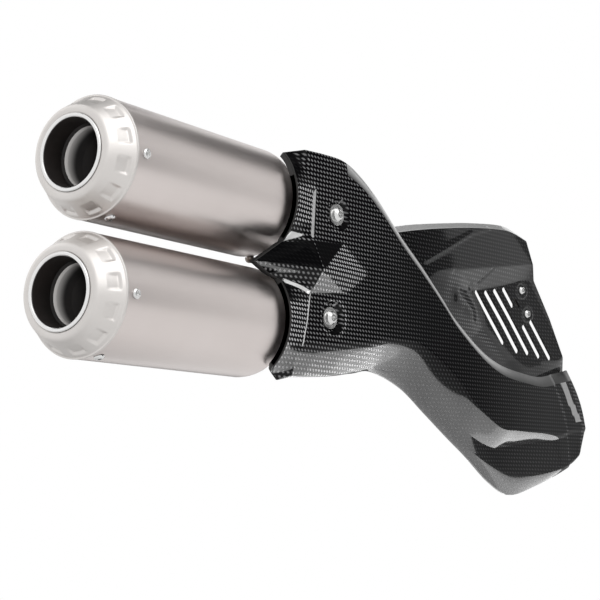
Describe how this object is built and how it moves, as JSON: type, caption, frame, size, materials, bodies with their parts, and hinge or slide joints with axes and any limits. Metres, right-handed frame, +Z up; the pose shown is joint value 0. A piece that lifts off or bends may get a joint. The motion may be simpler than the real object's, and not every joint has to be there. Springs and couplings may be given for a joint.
{
  "type": "twin-muffler racing exhaust system",
  "caption": "Stacked twin titanium mufflers with pocketed end caps, sliding noise inserts, a carbon heat shield and a slotted carbon heel guard.",
  "frame": {"origin": "centre of the inlet socket's mouth", "axes": "+X forward along the muffler axes and out of the inlet socket, +Y inboard towards the vehicle, +Z up"},
  "size_m": [0.7449, 0.175, 0.3133],
  "materials": {
    "titanium": "satin",
    "cast_silver": "bead blasted",
    "dark_steel": "heat stained",
    "bright_steel": "polished",
    "carbon": "clear-coated weave",
    "wool": "loose fibre",
    "rubber": "matte"
  },
  "bodies": {
    "exhaust": {"upper_sleeve": "titanium", "lower_sleeve": "titanium", "upper_end_cap": "cast_silver", "lower_end_cap": "cast_silver", "upper_outlet_tube": "dark_steel", "lower_outlet_tube": "dark_steel", "upper_core": "bright_steel", "lower_core": "bright_steel", "upper_packing": "wool", "lower_packing": "wool", "upper_front_cap": "titanium", "lower_front_cap": "titanium", "upper_cap_screws": "bright_steel", "lower_cap_screws": "bright_steel", "spacer_stud": "dark_steel", "upper_springs": "bright_steel", "lower_springs": "bright_steel", "link_pipe": "dark_steel", "upper_branch": "dark_steel", "inlet_socket": "dark_steel", "spring_tabs": "dark_steel", "heat_shield": "carbon", "shield_bolts": "bright_steel", "shield_washers": "bright_steel", "shield_posts": "dark_steel", "front_stay": "dark_steel", "front_buffer": "rubber", "heel_guard": "carbon", "heel_bracket": "dark_steel", "heel_screws": "bright_steel"},
    "upper_insert": {"upper_noise_insert": "dark_steel"},
    "lower_insert": {"lower_noise_insert": "dark_steel"},
    "clamp": {"inlet_clamp": "bright_steel", "clamp_bolt": "bright_steel", "clamp_nut": "bright_steel"}
  },
  "joints": [
    {"name": "upper_insert_slide", "type": "slide", "parent": "exhaust", "child": "upper_insert", "axis": [-1, 0, 0], "range_m": [0, 0.12]},
    {"name": "lower_insert_slide", "type": "slide", "parent": "exhaust", "child": "lower_insert", "axis": [-1, 0, 0], "range_m": [0, 0.12]},
    {"name": "inlet_clamp_turn", "type": "hinge", "parent": "exhaust", "child": "clamp", "pos_m": [0, 0, 0], "axis": [1, 0, 0], "range_deg": [-40, 40]}
  ]
}
